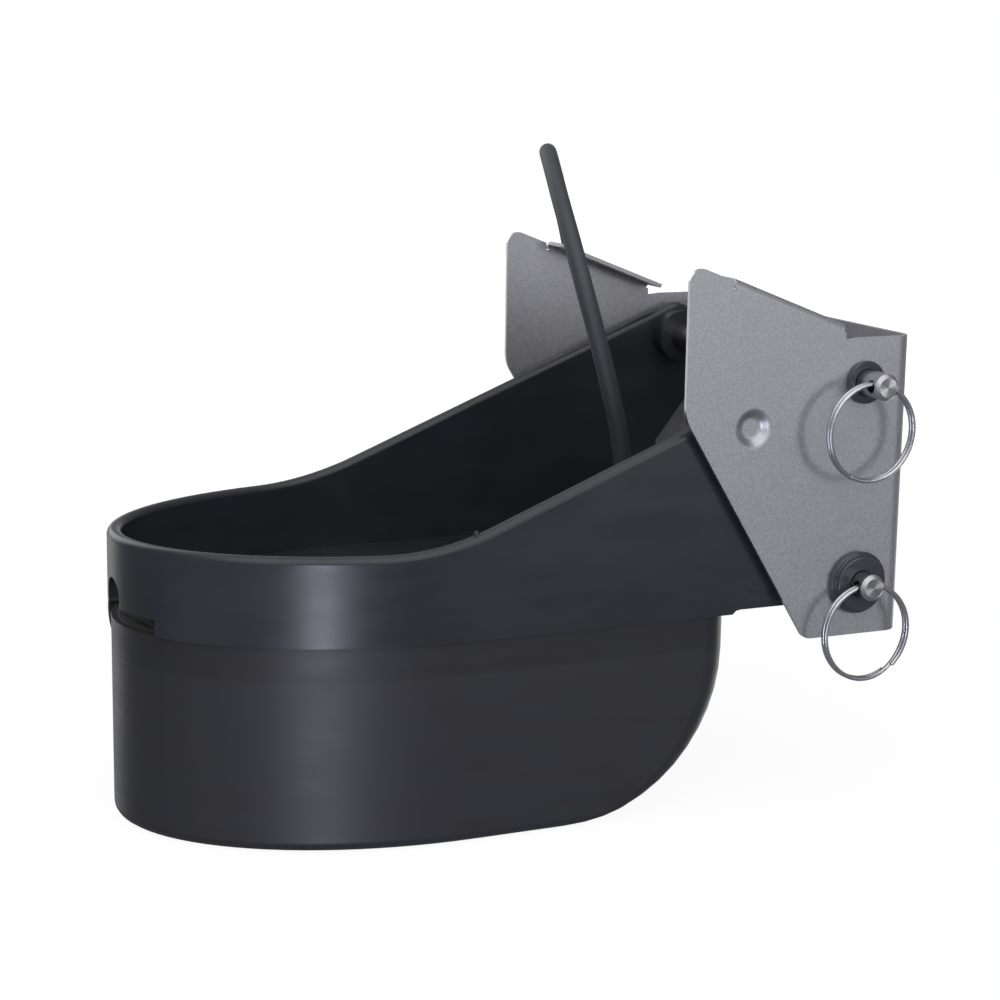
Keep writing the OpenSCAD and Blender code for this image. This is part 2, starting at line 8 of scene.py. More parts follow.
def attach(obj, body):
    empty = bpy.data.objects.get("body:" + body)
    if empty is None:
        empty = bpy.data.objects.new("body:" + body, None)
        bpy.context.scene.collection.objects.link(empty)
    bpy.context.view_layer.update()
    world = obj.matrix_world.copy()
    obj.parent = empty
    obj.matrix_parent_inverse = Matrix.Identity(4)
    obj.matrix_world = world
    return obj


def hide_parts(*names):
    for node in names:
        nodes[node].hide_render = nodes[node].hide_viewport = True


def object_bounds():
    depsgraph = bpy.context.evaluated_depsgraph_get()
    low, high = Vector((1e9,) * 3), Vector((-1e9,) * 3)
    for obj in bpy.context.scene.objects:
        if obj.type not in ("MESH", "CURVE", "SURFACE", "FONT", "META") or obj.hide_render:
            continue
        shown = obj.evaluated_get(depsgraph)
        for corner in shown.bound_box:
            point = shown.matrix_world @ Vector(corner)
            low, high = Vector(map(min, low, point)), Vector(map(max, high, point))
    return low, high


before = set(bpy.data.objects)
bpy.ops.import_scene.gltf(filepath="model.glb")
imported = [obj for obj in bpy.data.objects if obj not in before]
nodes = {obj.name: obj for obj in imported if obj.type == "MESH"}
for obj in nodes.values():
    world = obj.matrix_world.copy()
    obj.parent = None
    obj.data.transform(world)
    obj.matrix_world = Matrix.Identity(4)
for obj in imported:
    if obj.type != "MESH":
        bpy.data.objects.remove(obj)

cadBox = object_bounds()
scene = bpy.context.scene
scene.view_settings.view_transform = "Standard"
mm = 0.001
print("frame loaded:", len(nodes), "nodes")

# the photograph's viewpoint, in the part's own frame
viewpoint = {
    "place": (-453.1, -716.3, 150.0),  # mm
    "heading": 24.92,  # degrees from +Y toward +X
    "pitch": 11.486,  # degrees down
    "roll": 0.916,  # degrees
    "focal": 2321.1,  # pixels, for an image 1000 pixels wide
    "image": 1000,
    "sensor": 36.0,  # mm
    "clip": (0.01, 50),  # m
}


def makeCamera():
    data = bpy.data.cameras.new("photoCamera")
    data.sensor_width = viewpoint["sensor"]
    data.lens = data.sensor_width * viewpoint["focal"] / viewpoint["image"]
    data.clip_start, data.clip_end = viewpoint["clip"]
    camera = bpy.data.objects.new("photoCamera", data)
    scene.collection.objects.link(camera)
    heading, pitch = math.radians(viewpoint["heading"]), math.radians(viewpoint["pitch"])
    level = math.cos(pitch)
    ahead = Vector((math.sin(heading) * level, math.cos(heading) * level, -math.sin(pitch)))
    roll = Quaternion((0, 0, 1), math.radians(viewpoint["roll"]))
    camera.rotation_mode = "QUATERNION"
    camera.location = Vector(viewpoint["place"]) * mm
    camera.rotation_quaternion = ahead.to_track_quat("-Z", "Y") @ roll
    scene.camera = camera


makeCamera()
print("camera placed")


def hexLinear(code):
    channels = [int(code[i:i + 2], 16) / 255 for i in (1, 3, 5)]
    return [c / 12.92 if c <= 0.04045 else ((c + 0.055) / 1.055) ** 2.4 for c in channels] + [1.0]


def addNode(tree, kind, settings=None, links=None):
    node = tree.nodes.new(kind)
    for key, value in (settings or {}).items():
        if isinstance(key, str) and hasattr(node, key):
            setattr(node, key, value)
        else:
            node.inputs[key].default_value = value
    for key, source in (links or {}).items():
        tree.links.new(source, node.inputs[key])
    return node


def perMetre(size):
    return 1.0 / (size * mm)  # texture scale for a pattern of that size in mm


# each finish: two sRGB tones, shader values, the pattern's size and relief in mm and how strongly that relief
# shows; some stretch the pattern, have a finer grain (mm), vary in roughness, carry a painted shade band
# above a height (mm), or spread the shine round the turning axis
looks = {
    # glass-filled nylon, injection moulded: blue-grey charcoal, fine satin grain, faint flow marks
    "mouldedNylon": {
        "colour": "#24252b", "light": "#282930", "roughness": 0.31, "ior": 1.47, "size": 8.0,
        "stretch": (0.3, 0.3, 1), "detail": 5.0, "grain": 0.5, "relief": 0.02, "depth": 0.22, "vary": 0.03,
    },
    # polyurethane, cast over the works: a softer satin, faint level streaks, and a painted shade band under
    # the seam, where the tub's edge overhangs
    "castUrethane": {
        "colour": "#28262c", "light": "#27292e", "roughness": 0.41, "ior": 1.46, "size": 6.0,
        "stretch": (0.2, 0.2, 1), "detail": 4.0, "relief": 0.02, "depth": 0.05, "vary": 0.03,
        "paintedShadeFrom": -52.0, "paintedShadeLevel": 0.8,
    },
    # polyurethane joint face, as cast: dead matt, and a darker tone as painted shade, so the drain slot stays
    # dark
    "jointUrethanePaintedShade": {
        "colour": "#17171a", "light": "#1b1b1e", "roughness": 0.95, "ior": 1.46, "size": 1.0,
        "relief": 0.1, "depth": 0.5,
    },
    # stainless steel sheet, bead blasted: an even cool grey satin with a fine sparkle of pits, drawn
    # coarser to show
    "blastedStainless": {
        "colour": "#a3a3a8", "light": "#bcbcc1", "roughness": 0.53, "metallic": 1.0, "size": 0.55,
        "detail": 2.0, "relief": 0.03, "depth": 0.3, "vary": 0.05,
    },
    # stainless steel sheet, sheared: smoother along the cut edges, and a lighter tone there as a painted
    # highlight
    "shearedStainlessPaintedHighlight": {
        "colour": "#cdcdd1", "light": "#d8d8dc", "roughness": 0.3, "metallic": 1.0, "size": 0.6,
        "relief": 0.004, "depth": 0.1,
    },
    # stainless steel sheet, pressed: the punch left the dimple smoother, so it catches a bright spot
    "pressedStainless": {
        "colour": "#a3a3a8", "light": "#b6b6bb", "roughness": 0.4, "metallic": 1.0, "size": 0.55,
        "relief": 0.02, "depth": 0.2,
    },
    # stainless steel bar, turned: the rings left by the tool spread the shine into wedges on the pin ends
    "turnedPin": {
        "colour": "#a6a6aa", "light": "#b6b6ba", "roughness": 0.34, "metallic": 1.0, "size": 0.5,
        "relief": 0.004, "depth": 0.1, "spread": 0.75,
    },
    # stainless steel screws, turned: bright, fine tool marks
    "turnedSteel": {
        "colour": "#c0c0c4", "light": "#cbcbcf", "roughness": 0.26, "metallic": 1.0, "size": 0.4,
        "relief": 0.005, "depth": 0.2,
    },
    # stainless spring wire, drawn: bright but a little hazy
    "drawnWire": {
        "colour": "#a9a9ad", "light": "#bcbcc0", "roughness": 0.3, "metallic": 1.0, "size": 0.6,
        "relief": 0.002, "depth": 0.03,
    },
    # acetal, turned: dark grey and glossy
    "bushAcetal": {
        "colour": "#3b3b42", "light": "#404047", "roughness": 0.1, "ior": 1.48, "size": 0.5,
        "relief": 0.006, "depth": 0.15,
    },
    # PVC, extruded: charcoal, a little waxy
    "cablePvc": {
        "colour": "#34353b", "light": "#393a40", "roughness": 0.58, "ior": 1.53, "size": 0.8,
        "relief": 0.02, "depth": 0.2,
    },
    # nylon, moulded: black satin
    "glandNylon": {
        "colour": "#1a1a1d", "light": "#1f1f22", "roughness": 0.4, "ior": 1.53, "size": 0.5,
        "relief": 0.02, "depth": 0.3,
    },
    # nitrile rubber, moulded: matt black
    "nitrile": {
        "colour": "#121213", "light": "#171718", "roughness": 0.7, "ior": 1.52, "size": 0.4,
        "relief": 0.02, "depth": 0.4,
    },
    # epoxy, poured and filled: near black, dull
    "pouredEpoxy": {
        "colour": "#161616", "light": "#1a1a1a", "roughness": 0.85, "ior": 1.55, "size": 9.0,
        "relief": 0.02, "depth": 0.1,
    },
    # lead zirconate titanate, fired with silvered faces: pale cream, matt
    "firedCeramic": {
        "colour": "#d2ccbd", "light": "#e0dbce", "roughness": 0.55, "ior": 2.0, "size": 3.0,
        "relief": 0.02, "depth": 0.3,
    },
    # cork and rubber sheet, pressed: brown granules
    "pressedCork": {
        "colour": "#84602f", "light": "#b3875a", "roughness": 0.85, "ior": 1.45, "size": 2.2,
        "relief": 0.2, "depth": 0.6,
    },
    # ferrite core, sintered: dark grey brown, dry
    "sinteredFerrite": {
        "colour": "#37312e", "light": "#463e3a", "roughness": 0.6, "ior": 2.0, "size": 1.2,
        "relief": 0.05, "depth": 0.4,
    },
    # epoxy bead, dipped: deep blue gloss
    "dippedBead": {
        "colour": "#2f3c58", "light": "#3c4b6c", "roughness": 0.3, "ior": 1.55, "size": 1.5,
        "relief": 0.01, "depth": 0.1,
    },
    # brass, turned and plated: warm yellow metal
    "platedBrass": {
        "colour": "#c1a05a", "light": "#ccab64", "roughness": 0.25, "metallic": 1.0, "size": 0.4,
        "relief": 0.005, "depth": 0.15,
    },
}
# the noise levels between which tone and roughness change over, the painted shade band's soft edge in mm, the
# usual detail
noiseUse = {"tint": (0.35, 0.65), "rough": (0.3, 0.7), "paintedShadeSoft": 0.4, "detail": 3.0}


def makeFinish(name, look):
    material = bpy.data.materials.new(name)
    material.use_nodes = True
    material.diffuse_color = hexLinear(look["colour"])
    tree = material.node_tree
    shader = tree.nodes["Principled BSDF"]
    shader.inputs["Roughness"].default_value = look["roughness"]
    shader.inputs["Metallic"].default_value = look.get("metallic", 0.0)
    if "ior" in look:
        shader.inputs["IOR"].default_value = look["ior"]
    place = addNode(tree, "ShaderNodeTexCoord")
    drawn = addNode(tree, "ShaderNodeMapping", {"Scale": look.get("stretch", (1, 1, 1))},
                    {"Vector": place.outputs["Object"]})
    noise = addNode(tree, "ShaderNodeTexNoise",
                    {"Scale": perMetre(look["size"]), "Detail": look.get("detail", noiseUse["detail"])},
                    {"Vector": drawn.outputs[0]})
    low, high = noiseUse["tint"]
    share = addNode(tree, "ShaderNodeMapRange", {"From Min": low, "From Max": high},
                    {"Value": noise.outputs["Fac"]})
    # a colour mix takes its two colours at sockets 6 and 7 and gives the result at output 2
    tint = addNode(tree, "ShaderNodeMix",
                   {"data_type": "RGBA", 6: hexLinear(look["colour"]), 7: hexLinear(look["light"])},
                   {0: share.outputs["Result"]})
    colour = tint.outputs[2]
    # painted shade: the colour darkens above a height, just under the tub's seam
    if "paintedShadeFrom" in look:
        split = addNode(tree, "ShaderNodeSeparateXYZ", {}, {"Vector": place.outputs["Object"]})
        paintedShadeStart = look["paintedShadeFrom"] - noiseUse["paintedShadeSoft"]
        paintedShadeBand = addNode(tree, "ShaderNodeMapRange",
                       {"From Min": paintedShadeStart * mm, "From Max": look["paintedShadeFrom"] * mm,
                        "To Min": 1.0, "To Max": look["paintedShadeLevel"]},
                       {"Value": split.outputs["Z"]})
        shade = addNode(tree, "ShaderNodeVectorMath", {"operation": "SCALE"},
                        {0: colour, "Scale": paintedShadeBand.outputs["Result"]})
        colour = shade.outputs[0]
    tree.links.new(colour, shader.inputs["Base Color"])
    height = noise
    if "grain" in look:
        height = addNode(tree, "ShaderNodeTexNoise",
                         {"Scale": perMetre(look["grain"]), "Detail": noiseUse["detail"]},
                         {"Vector": place.outputs["Object"]})
    bump = addNode(tree, "ShaderNodeBump", {"Strength": look["depth"], "Distance": look["relief"] * mm},
                   {"Height": height.outputs["Fac"]})
    tree.links.new(bump.outputs["Normal"], shader.inputs["Normal"])
    if "vary" in look:
        low, high = noiseUse["rough"]
        rough = addNode(tree, "ShaderNodeMapRange",
                        {"From Min": low, "From Max": high, "To Min": look["roughness"] - look["vary"],
                         "To Max": look["roughness"] + look["vary"]},
                        {"Value": noise.outputs["Fac"]})
        tree.links.new(rough.outputs["Result"], shader.inputs["Roughness"])
    if "spread" in look:
        tangent = addNode(tree, "ShaderNodeTangent", {"direction_type": "RADIAL", "axis": "Y"})
        shader.inputs["Anisotropic"].default_value = look["spread"]
        tree.links.new(tangent.outputs["Tangent"], shader.inputs["Tangent"])
    return material


finishes = {name: makeFinish(name, look) for name, look in looks.items()}
print("materials made:", len(finishes))


# carried-over nodes: finish, edge radius in mm, bevel steps
dress = {
    "bracket": ("blastedStainless", 0.25, 2),
    "pivot_pin": ("turnedPin", 0.35, 3), "latch_pin": ("turnedPin", 0.35, 3),
    "pivot_bush_starboard": ("bushAcetal", 0.4, 3), "pivot_bush_port": ("bushAcetal", 0.4, 3),
    "latch_bush_starboard": ("bushAcetal", 0.5, 3), "latch_bush_port": ("bushAcetal", 0.5, 3),
    "pivot_ring": ("drawnWire", 0, 0), "latch_ring": ("drawnWire", 0, 0),
    "tub": ("mouldedNylon", 0, 0), "tank": ("castUrethane", 0, 0), "potting": ("pouredEpoxy", 0, 0),
    "low_frequency_array": ("firedCeramic", 0.4, 2), "high_frequency_disc": ("firedCeramic", 0.4, 2),
    "backing_pad": ("pressedCork", 0.6, 2), "thermistor": ("dippedBead", 0.8, 3),
    "transformer": ("sinteredFerrite", 0.8, 2), "tub_gasket": ("nitrile", 0, 0),
    "housing_screws": ("turnedSteel", 0.3, 2), "gland_body": ("glandNylon", 0.5, 2),
    "gland_nut": ("glandNylon", 0.5, 2), "gland_seal": ("nitrile", 0, 0), "coil_tie": ("glandNylon", 0.3, 2),
    "plug_body": ("glandNylon", 0.8, 3), "plug_collar": ("glandNylon", 0.8, 3),
    "plug_insert": ("platedBrass", 0.2, 2),
    "cable_lead": ("cablePvc", 0, 0), "cable_coil": ("cablePvc", 0, 0), "cable_tail": ("cablePvc", 0, 0),
}
# points closer than this (mm) are joined; angles in degrees for flat faces, edges to bevel and sharp edges;
# how far large faces lead the shading
meshCare = {"weld": 0.004, "flat": 0.6, "bevelFrom": 32, "sharpFrom": 34, "faceWeight": 80}


def evenShading(piece):
    shade = piece.modifiers.new("shade", "WEIGHTED_NORMAL")
    shade.keep_sharp = True
    shade.weight = meshCare["faceWeight"]


def dressNode(name, finish, radius, steps):
    node = nodes[name]
    mesh = node.data
    mesh.materials.clear()
    mesh.materials.append(finishes[finish])
    if "custom_normal" in mesh.attributes:
        mesh.attributes.remove(mesh.attributes["custom_normal"])
    mesh.shade_smooth()
    weld = node.modifiers.new("weld", "WELD")
    weld.merge_threshold = meshCare["weld"] * mm
    if radius:
        flat = node.modifiers.new("flat", "DECIMATE")
        flat.decimate_type = "DISSOLVE"
        flat.angle_limit = math.radians(meshCare["flat"])
        edge = node.modifiers.new("edge", "BEVEL")
        edge.limit_method = "ANGLE"
        edge.angle_limit = math.radians(meshCare["bevelFrom"])
        edge.width = radius * mm
        edge.segments = steps
    evenShading(node)


# the bracket's worked places, in mm: the middle of a side plate's thickness, how far from it a cut face
# may lie, and the dimple's axis and radius; and how much a cut face and a dimple wall may face sideways
bracketWork = {
    "cutMiddle": 69.25, "cutWithin": 0.4, "cutSideways": 0.1,
    "dimple": (-61.5, 22.5), "dimpleRadius": 6.9, "wallSideways": 0.9,
}


def finishBracket():
    mesh = nodes["bracket"].data
    mesh.materials.append(finishes["shearedStainlessPaintedHighlight"])
    mesh.materials.append(finishes["pressedStainless"])
    dimpleX, dimpleZ = bracketWork["dimple"]
    for face in mesh.polygons:
        sideways = abs(face.normal.y)
        fromPlate = abs(abs(face.center.y) - bracketWork["cutMiddle"] * mm)
        fromDimple = math.hypot(face.center.x - dimpleX * mm, face.center.z - dimpleZ * mm)
        # cut faces take the lighter sheared finish: a painted highlight along the plate edges
        if sideways < bracketWork["cutSideways"] and fromPlate < bracketWork["cutWithin"] * mm:
            face.material_index = 1
        elif sideways < bracketWork["wallSideways"] and fromDimple < bracketWork["dimpleRadius"] * mm:
            face.material_index = 2


for name, (finish, radius, steps) in dress.items():
    dressNode(name, finish, radius, steps)
finishBracket()
print("nodes dressed:", len(dress))


def addPiece(name, bm, finish, body):
    bmesh.ops.recalc_face_normals(bm, faces=bm.faces)
    sharp = math.radians(meshCare["sharpFrom"])
    for edge in bm.edges:
        edge.smooth = not edge.is_manifold or edge.calc_face_angle(0) < sharp
    mesh = bpy.data.meshes.new(name)
    bm.to_mesh(mesh)
    bm.free()
    mesh.shade_smooth()
    mesh.materials.append(finishes[finish])
    piece = bpy.data.objects.new(name, mesh)
    scene.collection.objects.link(piece)
    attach(piece, body)
    evenShading(piece)
    return piece


def sharpEdges(bm, degrees):
    limit = math.radians(degrees)
    return [e for e in bm.edges if e.is_manifold and e.calc_face_angle(0) > limit]


def roundEdges(bm, edges, radius, steps, clamp=True):
    bmesh.ops.bevel(bm, geom=edges, offset=radius * mm, offset_type="OFFSET", segments=steps, profile=0.5,
                    affect="EDGES", clamp_overlap=clamp)


def cadCopy(name):
    bm = bmesh.new()
    bm.from_mesh(nodes[name].data)
    bmesh.ops.remove_doubles(bm, verts=bm.verts, dist=meshCare["weld"] * mm)
    bmesh.ops.dissolve_limit(bm, angle_limit=math.radians(meshCare["flat"]), verts=bm.verts, edges=bm.edges)
    return bm


# the tub's moulded shell: a full round along the rim, small radii elsewhere; mm, and degrees for sharp edges
tubShell = {
    "rimRound": 2.3, "rimSteps": 6, "rimSharp": 32, "rimLowest": -12.5, "rimUpward": 0.25,
    "edgeRound": 0.35, "edgeSteps": 2, "edgeSharp": 40,
    "earFrom": -34.0, "hinge": (-19, 0, 36), "bossClear": 11.0,
}


def makeTubShell():
    bm = cadCopy("tub")
    earX = tubShell["earFrom"] * mm
    bmesh.ops.bisect_plane(bm, geom=bm.verts[:] + bm.edges[:] + bm.faces[:], dist=1e-6,
                           plane_co=(earX, 0, 0), plane_no=(1, 0, 0))
    hinge = Vector(tubShell["hinge"]) * mm
    rimEdges = set()
    for face in bm.faces:
        middle = face.calc_center_median()
        clear = math.hypot(middle.x - hinge.x, middle.z - hinge.z) > tubShell["bossClear"] * mm
        lowest = min(v.co.z for v in face.verts)
        if clear and face.normal.z > tubShell["rimUpward"] and lowest > tubShell["rimLowest"] * mm:
            rimEdges.update(face.edges)
    rim = [e for e in sharpEdges(bm, tubShell["rimSharp"]) if e in rimEdges]
    roundEdges(bm, rim, tubShell["rimRound"], tubShell["rimSteps"], clamp=False)
    rest = [e for e in sharpEdges(bm, tubShell["edgeSharp"]) if max(v.co.x for v in e.verts) < earX]
    roundEdges(bm, rest, tubShell["edgeRound"], tubShell["edgeSteps"])
    shell = addPiece("tubShell", bm, "mouldedNylon", "transducer")
    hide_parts("tub")


# the tank's cast body: crisp edges, and a joint face on top, above jointZ, in a darker tone as painted shade;
# mm, and degrees for sharp edges
tankShell = {"edgeRound": 0.4, "edgeSteps": 2, "edgeSharp": 50, "jointZ": -45.0, "jointUpward": 0.9}


def makeTankShell():
    bm = cadCopy("tank")
    roundEdges(bm, sharpEdges(bm, tankShell["edgeSharp"]), tankShell["edgeRound"], tankShell["edgeSteps"])
    # upward faces above jointZ take the darker joint finish: painted shade in the drain slot
    for face in bm.faces:
        high = face.calc_center_median().z > tankShell["jointZ"] * mm
        face.material_index = 1 if high and face.normal.z > tankShell["jointUpward"] else 0
    shell = addPiece("tankShell", bm, "castUrethane", "transducer")
    shell.data.materials.append(finishes["jointUrethanePaintedShade"])
    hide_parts("tank")


# a gate mark left on the rim by the mould; mm, and degrees for sharp edges
gateMark = {
    "place": (-157.7, -63.4, -6.8), "base": 1.1, "top": 0.7, "height": 2.2, "sides": 20,
    "edgeRound": 0.3, "edgeSteps": 3, "edgeSharp": 40,
}


def makeGateMark():
    bm = bmesh.new()
    bmesh.ops.create_cone(bm, cap_ends=True, segments=gateMark["sides"], radius1=gateMark["base"] * mm,
                          radius2=gateMark["top"] * mm, depth=gateMark["height"] * mm,
                          matrix=Matrix.Translation(Vector(gateMark["place"]) * mm))
    roundEdges(bm, sharpEdges(bm, gateMark["edgeSharp"]), gateMark["edgeRound"], gateMark["edgeSteps"])
    mark = addPiece("rimGateMark", bm, "mouldedNylon", "transducer")


makeTubShell()
makeTankShell()
makeGateMark()
print("tub and tank rounded")


def makeTube(name, line, radius, finish, resolution):
    data = bpy.data.curves.new(name, "CURVE")
    data.dimensions = "3D"
    data.bevel_depth = radius * mm
    data.bevel_resolution = resolution
    data.use_fill_caps = True
    spline = data.splines.new("POLY")
    spline.points.add(len(line) - 1)
    for point, place in zip(spline.points, line):
        point.co = (*(place * mm), 1.0)
    data.materials.append(finishes[finish])
    tube = bpy.data.objects.new(name, data)
    scene.collection.objects.link(tube)
    return tube


def ease(t):
    t = min(max(t, 0.0), 1.0)
    return t * t * (3 - 2 * t)


# split rings: two turns of spring wire, sprung open by a jog; mm, and degrees for the jog. sagHalf is half
# the arc's drop across the pin, and sweep the share of two full turns that the wire takes
splitRing = {
    "mean": 16.25, "wire": 0.75, "gap": 0.03, "sagHalf": 0.318, "jog": 40, "sweep": 0.985, "perTurn": 72,
    "resolution": 4,
}
ringSeats = {
    "pivot_ring": {"hole": (-19, -80.1, 36), "lean": 12, "lift": 0.295, "start": 205},
    "latch_ring": {"hole": (-19, -77.5, -32.5), "lean": 0, "lift": 0.0, "start": 150},
}


def makeSplitRing(name, seat):
    mean, jog = splitRing["mean"], splitRing["jog"]
    offset = splitRing["wire"] + splitRing["gap"]
    turn = Matrix.Rotation(math.radians(seat["lean"]), 4, "Y")
    line = []
    steps = 2 * splitRing["perTurn"]
    for k in range(steps + 1):
        angle = 720.0 * k / steps * splitRing["sweep"]
        side = offset * (1 - 2 * ease((angle - 360 + jog) / (2 * jog)))
        a = math.radians(seat["start"] + angle)
        local = Vector((mean * math.sin(a), side, mean * math.cos(a) + splitRing["sagHalf"] - mean))
        line.append(turn @ local + Vector(seat["hole"]) + Vector((0, 0, seat["lift"])))
    ring = makeTube(name + "_wire", line, splitRing["wire"], "drawnWire", splitRing["resolution"])
    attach(ring, name)
    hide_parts(name)


for name, seat in ringSeats.items():
    makeSplitRing(name, seat)
print("split rings wound")


# the cable: its route's points repeat the part's source; mm, and degrees round the coil
cable = {
    "radius": 3.2, "floor": -108.5, "coilX": -125, "coilY": 150, "coilRadius": 56.3, "bundle": 20.0,
    "tieThick": 1.2, "plugRise": 11,
    "rows": (3, 4, 5, 5, 4, 3), "pitch": 6.55, "layer": 6.3,  # turns in each row, and their spacing
    "rowShift": 0.25,  # in pitches
    "climb": 70,  # the lead climbs into the first seat
    "move": 48, "stagger": 14,  # a change of seat, and how much earlier each one comes
    "rowShare": 0.65,  # share of a change of row that going up takes, and then going sideways
    "tailAt": 90, "tailTurn": 110, "tailHaste": 2.2,  # the tail comes down the outside of the bundle
    "tailStep": 4.0, "tailSteps": 8,  # and then runs straight into the plug
    "perTurn": 54, "routeSteps": 6, "smoothing": 30, "resolution": 4,
}
coilZ = cable["floor"] + cable["bundle"] + cable["tieThick"]
lieZ = cable["floor"] + cable["radius"]
plugZ = cable["floor"] + cable["plugRise"]
reach = cable["bundle"] + cable["radius"]
leadOut = math.sqrt(reach ** 2 - (coilZ - lieZ) ** 2)
tailOut = math.sqrt(reach ** 2 - (coilZ - plugZ) ** 2)
leadX = cable["coilX"] + cable["coilRadius"] + leadOut
leadRoute = [
    (-76, -8, -44), (-76, -8, -20), (-76, -8, -4), (-77.5, -8, 9), (-80.5, -7.5, 21), (-83.5, -6, 34.5),
    (-87.5, -4, 51), (-89.5, 0, 62.3), (-89.7, 6, 72.5), (-89, 15, 83), (-86.5, 28, 93.3), (-82, 43, 102.5),
    (-76, 60, 107.8), (-66.5, 77, 103), (-56, 90, 88.5), (-47, 97, 71), (-41, 100.5, 45), (-42, 102, 15),
    (-47, 103, -20), (-53, 103.5, -50), (leadX, 104, -74), (leadX, 108.5, -90), (leadX, 119, -100.5),
    (leadX, 133, lieZ), (leadX, cable["coilY"], lieZ),
]


# a curve through all the points, in even steps
def smoothRoute(points, steps):
    line = []
    points = [Vector(p) for p in points]
    for i in range(len(points) - 1):
        a, b = points[max(i - 1, 0)], points[i]
        c, d = points[i + 1], points[min(i + 2, len(points) - 1)]
        for k in range(steps):
            t = k / steps
            line.append(0.5 * (2 * b + (c - a) * t + (2 * a - 5 * b + 4 * c - d) * t * t
                               + (3 * b - a - 3 * c + d) * t ** 3))
    return line + [points[-1]]


# the bundle's seats, as (outward, up) from its middle, row by row, turning back at each row's end
def bundleSeats():
    seats = []
    rows = cable["rows"]
    for r, count in enumerate(rows):
        shift = cable["rowShift"] if r < len(rows) / 2 else -cable["rowShift"]
        up = (r - (len(rows) - 1) / 2) * cable["layer"]
        row = [((k - (count - 1) / 2 + shift) * cable["pitch"], up) for k in range(count)]
        seats += row[::-1] if r % 2 == 0 else row
    return seats


def coilLine():
    seats = [(leadOut, lieZ - coilZ)] + bundleSeats()
    line = []
    last = len(seats) - 1
    eachTurn = 360 - cable["stagger"]
    moves = [(0, cable["climb"])] + [(eachTurn * i, cable["move"]) for i in range(1, last)]
    final = 360 * math.ceil(eachTurn * last / 360) + cable["tailAt"]
    leave = final - cable["tailTurn"]
    steps = int(final / 360 * cable["perTurn"])
    share = cable["rowShare"]
    for k in range(1, steps + 1):
        angle = final * k / steps
        out, up = seats[0]
        for i, (start, span) in enumerate(moves):
            t = (angle - start) / span
            if t <= 0:
                break
            a, b = seats[i], seats[i + 1]
            rowChange = a[1] != b[1]
            tOut, tUp = ((t - (1 - share)) / share, t / share) if rowChange else (t, t)
            out, up = a[0] + (b[0] - a[0]) * ease(tOut), a[1] + (b[1] - a[1]) * ease(tUp)
        t = ease((angle - leave) / cable["tailTurn"])
        if t > 0:
            a, b = math.atan2(up, out), math.atan2(plugZ - coilZ, tailOut)
            seatReach = math.hypot(out, up)
            size = seatReach + (reach - seatReach) * ease(t * cable["tailHaste"])
            out, up = size * math.cos(a + (b - a) * t), size * math.sin(a + (b - a) * t)
        spin = math.radians(angle)
        r = cable["coilRadius"] + out
        x, y = cable["coilX"] + r * math.cos(spin), cable["coilY"] + r * math.sin(spin)
        line.append(Vector((x, y, coilZ + up)))
    return line


def makeCable():
    line = smoothRoute(leadRoute, cable["routeSteps"])
    for k in range(cable["smoothing"]):
        line[2:-2] = [0.25 * a + 0.5 * b + 0.25 * c for a, b, c in zip(line[1:], line[2:-2], line[3:])]
    line += coilLine()
    end = line[-1]
    for k in range(cable["tailSteps"]):
        line.append(end + Vector((-cable["tailStep"] * (k + 1), 0, 0)))
    piece = makeTube("cable", line, cable["radius"], "cablePvc", cable["resolution"])
    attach(piece, "transducer")
    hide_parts("cable_lead", "cable_coil", "cable_tail")


makeCable()
print("cable laid")


# a plain pale floor, white to the camera, that keeps the shadow near the object; shiny pieces mirror
# the white only where the picture shows it, behind the object
studio = {
    "floor": 3.0, "tone": "#a4a4a4",  # half width in m, and the floor's own colour
    "paper": "#ffffff", "glow": 1.2,  # the white that the camera sees, and its strength on the floor
    "centre": (-0.13, 0.03), "near": 0.3, "far": 0.75,  # m
    "share": 0.78,  # of that white near the centre, so that the shadow shows; it is all white far off
    "sky": "#f7f8ff", "fill": 0.24,  # the world's own light
    "backdrop": (0.413, 0.889, -0.199),  # about the way that the camera looks
    "cardEdge": 0.9, "cardFull": 0.97,  # cosines from it, where the mirrored white begins and is full
}


def makeFloor():
    low = cadBox[0].z
    half = studio["floor"]
    mesh = bpy.data.meshes.new("studioFloor")
    mesh.from_pydata([(-half, -half, low), (half, -half, low), (half, half, low), (-half, half, low)], [],
                     [(0, 1, 2, 3)])
    floor = bpy.data.objects.new("studioFloor", mesh)
    scene.collection.objects.link(floor)
    floor.visible_glossy = False  # the low strip lamp is mirrored through it
    floor.visible_shadow = False
    material = bpy.data.materials.new("paleFloor")
    material.use_nodes = True
    tree = material.node_tree
    tree.nodes.remove(tree.nodes["Principled BSDF"])
    path = addNode(tree, "ShaderNodeLightPath")
    lit = addNode(tree, "ShaderNodeBsdfDiffuse", {"Color": hexLinear(studio["tone"])})
    glow = addNode(tree, "ShaderNodeEmission",
                   {"Color": hexLinear(studio["paper"]), "Strength": studio["glow"]})
    place = addNode(tree, "ShaderNodeTexCoord")
    middle = addNode(tree, "ShaderNodeVectorMath", {"operation": "DISTANCE", 1: (*studio["centre"], low)},
                     {0: place.outputs["Object"]})
    fade = addNode(tree, "ShaderNodeMapRange",
                   {"From Min": studio["near"], "From Max": studio["far"],
                    "To Min": studio["share"], "To Max": 1.0},
                   {"Value": middle.outputs["Value"]})
    share = addNode(tree, "ShaderNodeMath", {"operation": "MULTIPLY"},
                    {0: path.outputs["Is Camera Ray"], 1: fade.outputs["Result"]})
    mix = addNode(tree, "ShaderNodeMixShader", {},
                  {0: share.outputs[0], 1: lit.outputs[0], 2: glow.outputs[0]})
    tree.links.new(mix.outputs[0], tree.nodes["Material Output"].inputs["Surface"])
    mesh.materials.append(material)


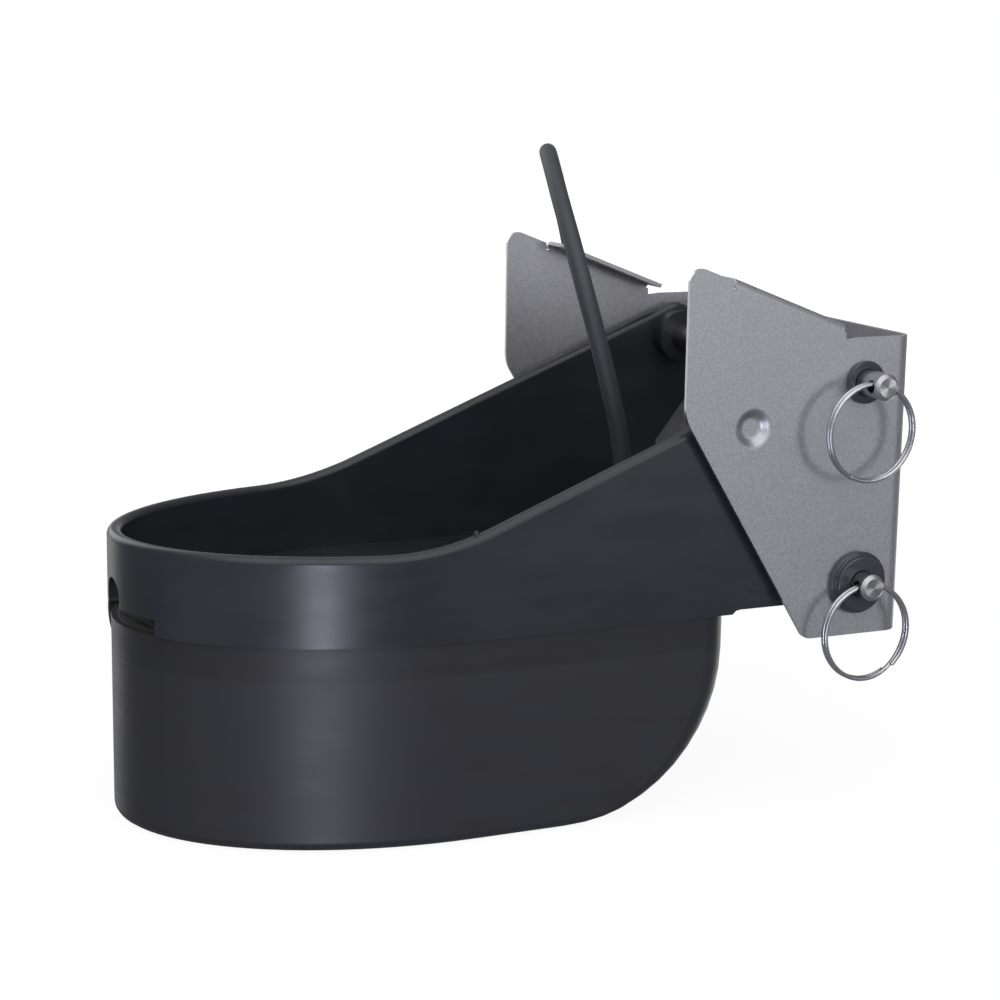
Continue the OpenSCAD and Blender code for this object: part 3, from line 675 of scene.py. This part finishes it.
def makeWorld():
    world = bpy.data.worlds.new("studioWorld")
    scene.world = world
    world.use_nodes = True
    tree = world.node_tree
    back = tree.nodes["Background"]
    path = addNode(tree, "ShaderNodeLightPath")
    place = addNode(tree, "ShaderNodeTexCoord")
    behind = addNode(tree, "ShaderNodeVectorMath", {"operation": "DOT_PRODUCT", 1: studio["backdrop"]},
                     {0: place.outputs["Generated"]})
    card = addNode(tree, "ShaderNodeMapRange",
                   {"interpolation_type": "SMOOTHSTEP",
                    "From Min": studio["cardEdge"], "From Max": studio["cardFull"]},
                   {"Value": behind.outputs["Value"]})
    shiny = addNode(tree, "ShaderNodeMath", {"operation": "ADD"},
                    {0: path.outputs["Is Glossy Ray"], 1: path.outputs["Is Transmission Ray"]})
    mirrored = addNode(tree, "ShaderNodeMath", {"operation": "MULTIPLY"},
                       {0: shiny.outputs[0], 1: card.outputs["Result"]})
    share = addNode(tree, "ShaderNodeMath", {"operation": "ADD", "use_clamp": True},
                    {0: path.outputs["Is Camera Ray"], 1: mirrored.outputs[0]})
    # a number mix takes its two numbers at sockets 2 and 3
    level = addNode(tree, "ShaderNodeMix", {2: studio["fill"], 3: 1.0}, {0: share.outputs[0]})
    tint = addNode(tree, "ShaderNodeMix",
                   {"data_type": "RGBA", 6: hexLinear(studio["sky"]), 7: hexLinear(studio["paper"])},
                   {0: share.outputs[0]})
    tree.links.new(tint.outputs[2], back.inputs["Color"])
    tree.links.new(level.outputs[0], back.inputs["Strength"])


# name: place in mm, aim in mm, width and height in m, watts, colour
lamps = {
    "lowStrip": ((-417, -619, -190), (-208, -57, -60), (0.05, 0.30), 1.14, "#eceeff"),
    "overheadSoft": ((-140, 300, 900), (-100, 0, 0), (1.0, 1.0), 1.6, "#ffffff"),
    "frontSoft": ((-350, -650, 850), (-150, 0, 0), (1.7, 1.7), 13.0, "#ffffff"),
    "keySoft": ((462, -1157, 110), (-45, -70, 0), (0.3, 0.3), 1.6, "#ffffff"),
    "edgeSoft": ((-550, 950, -200), (-80, 0, 0), (0.5, 0.5), 0.55, "#ffffff"),
    "leftSoft": ((-1100, -430, -120), (-160, 0, -60), (0.9, 0.9), 0.5, "#ffffff"),
    "portSoft": ((-550, 1250, 600), (-130, 60, 0), (1.0, 1.0), 5.0, "#ffffff"),
    "noseSoft": ((900, 420, -420), (-80, -60, -70), (0.6, 0.5), 1.2, "#ffffff"),
}


def makeLamps():
    for name, (place, aim, size, watts, colour) in lamps.items():
        data = bpy.data.lights.new(name, "AREA")
        data.shape = "RECTANGLE"
        data.size, data.size_y = size
        data.energy = watts
        data.color = hexLinear(colour)[:3]
        lamp = bpy.data.objects.new(name, data)
        scene.collection.objects.link(lamp)
        lamp.location = Vector(place) * mm
        lamp.rotation_mode = "QUATERNION"
        lamp.rotation_quaternion = (Vector(aim) - Vector(place)).to_track_quat("-Z", "Y")
        lamp.visible_camera = False


makeFloor()
makeWorld()
makeLamps()
print("studio lit")
